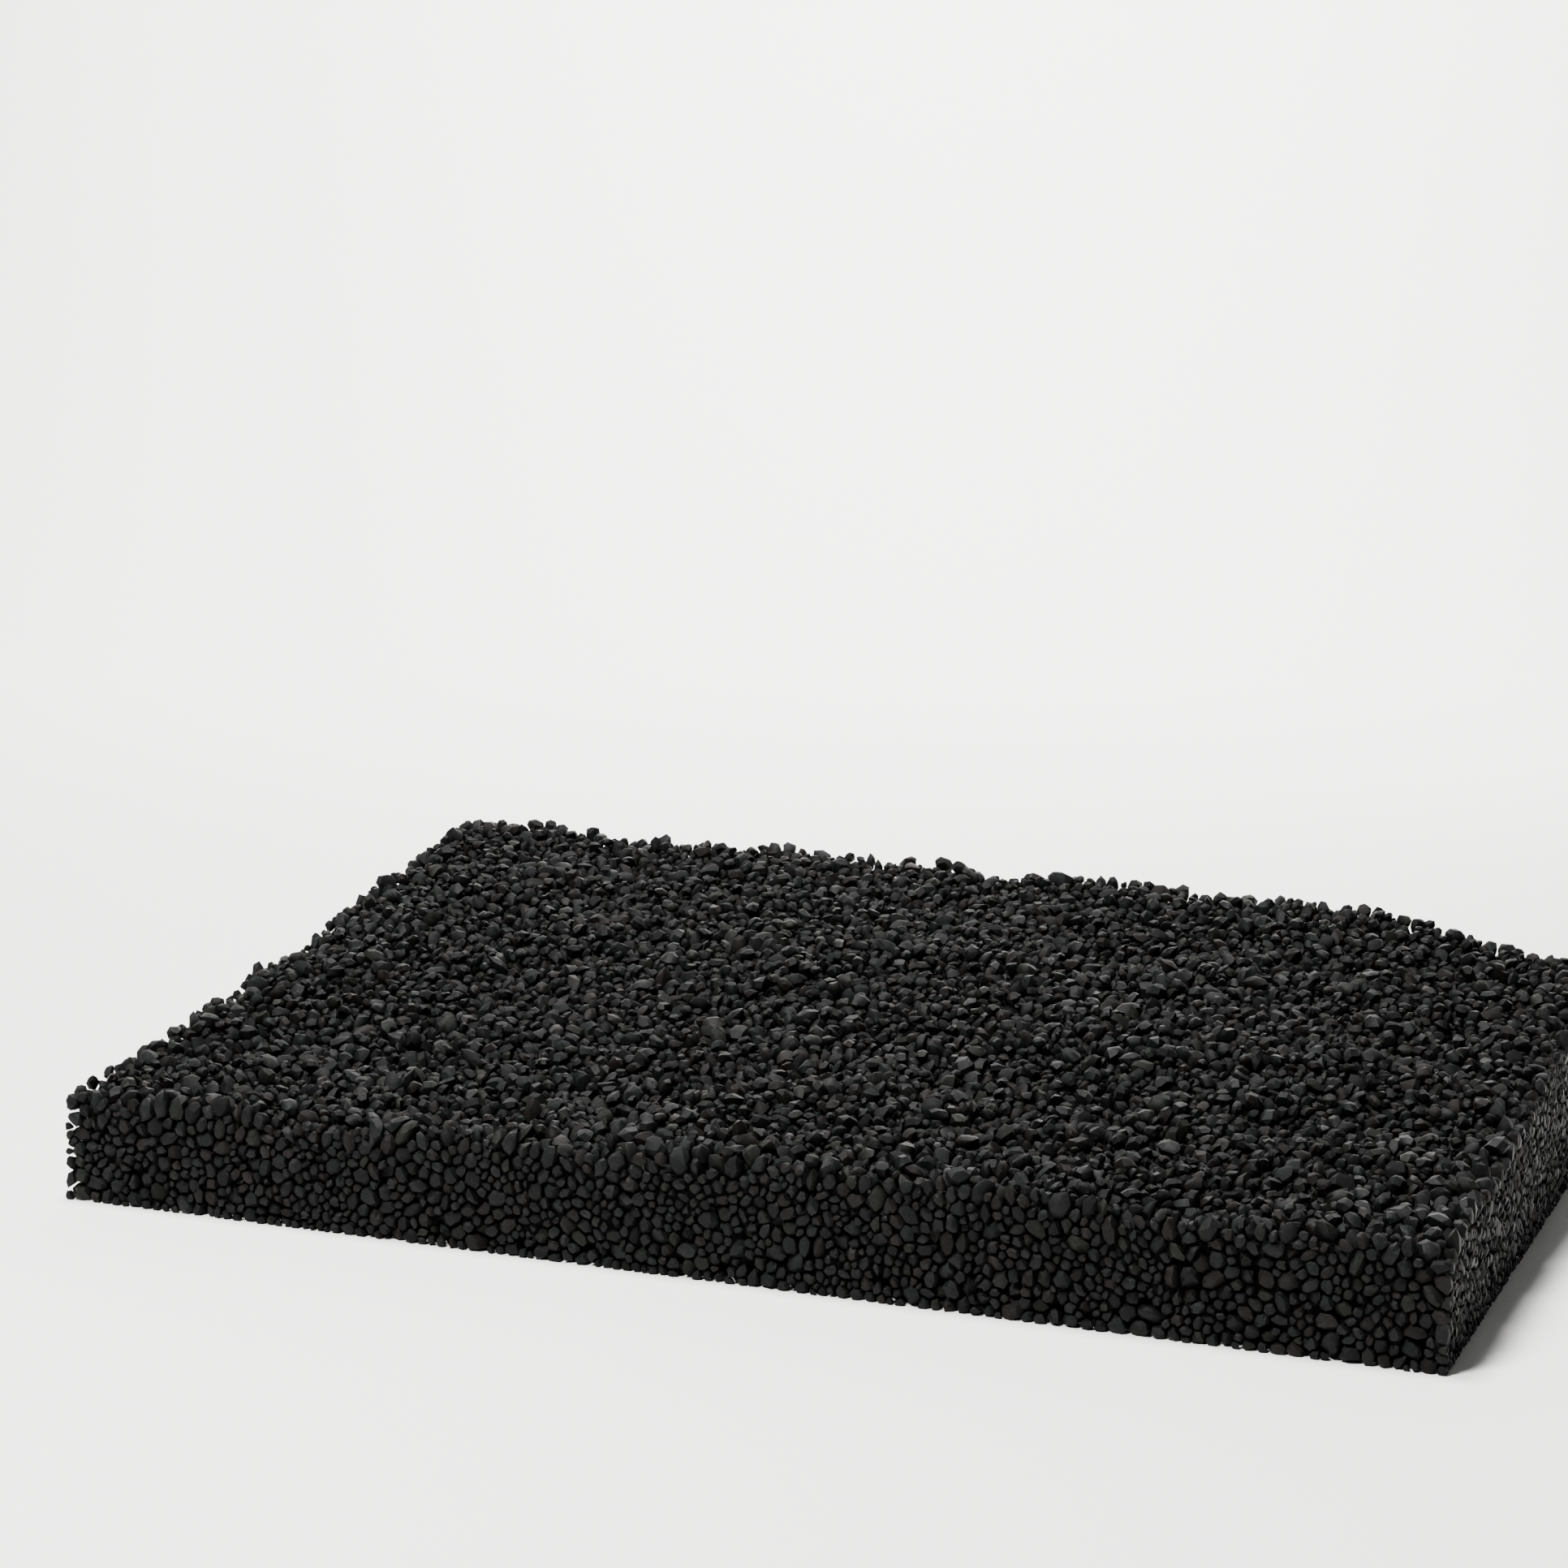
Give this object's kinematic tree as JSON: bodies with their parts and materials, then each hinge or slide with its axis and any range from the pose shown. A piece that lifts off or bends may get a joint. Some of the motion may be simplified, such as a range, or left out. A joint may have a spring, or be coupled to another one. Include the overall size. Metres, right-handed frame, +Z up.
{
  "type": "aquarium gravel",
  "caption": "Bed of loose black gravel for a tank floor, low along the front and heaped towards the back, flat underneath.",
  "frame": {"origin": "middle of the flat underside", "axes": "+X to the right along the front, +Y from the low front to the high back, +Z up"},
  "size_m": [0.44, 0.29, 0.0854],
  "materials": {
    "black_gravel": "matte, finely grained",
    "brown_gravel": "matte, finely grained",
    "green_gravel": "matte, finely grained"
  },
  "bodies": {
    "root": {"gravel_bed": "black_gravel", "loose_grain_01": "brown_gravel", "loose_grain_02": "black_gravel", "loose_grain_03": "green_gravel", "loose_grain_04": "black_gravel", "loose_grain_05": "brown_gravel", "loose_grain_06": "black_gravel", "loose_grain_07": "green_gravel", "loose_grain_08": "black_gravel", "loose_grain_09": "brown_gravel", "loose_grain_10": "black_gravel", "loose_grain_11": "green_gravel", "loose_grain_12": "black_gravel", "loose_grain_13": "brown_gravel", "loose_grain_14": "black_gravel", "loose_grain_15": "green_gravel", "loose_grain_16": "black_gravel", "loose_grain_17": "brown_gravel", "loose_grain_18": "black_gravel", "loose_grain_19": "green_gravel", "loose_grain_20": "black_gravel", "loose_grain_21": "brown_gravel", "loose_grain_22": "black_gravel", "loose_grain_23": "green_gravel", "loose_grain_24": "black_gravel", "loose_grain_25": "brown_gravel", "loose_grain_26": "black_gravel", "loose_grain_27": "green_gravel", "loose_grain_28": "black_gravel", "loose_grain_29": "brown_gravel", "loose_grain_30": "black_gravel", "loose_grain_31": "green_gravel", "loose_grain_32": "black_gravel", "loose_grain_33": "brown_gravel", "loose_grain_34": "black_gravel", "loose_grain_35": "green_gravel", "loose_grain_36": "black_gravel", "loose_grain_37": "brown_gravel", "loose_grain_38": "black_gravel", "loose_grain_39": "green_gravel", "loose_grain_40": "black_gravel", "loose_grain_41": "brown_gravel", "loose_grain_42": "black_gravel", "loose_grain_43": "green_gravel", "loose_grain_44": "black_gravel", "loose_grain_45": "brown_gravel", "loose_grain_46": "black_gravel", "loose_grain_47": "green_gravel", "loose_grain_48": "black_gravel", "loose_grain_49": "brown_gravel", "loose_grain_50": "black_gravel", "loose_grain_51": "green_gravel", "loose_grain_52": "black_gravel", "loose_grain_53": "brown_gravel", "loose_grain_54": "black_gravel", "loose_grain_55": "green_gravel", "loose_grain_56": "black_gravel"}
  },
  "joints": []
}
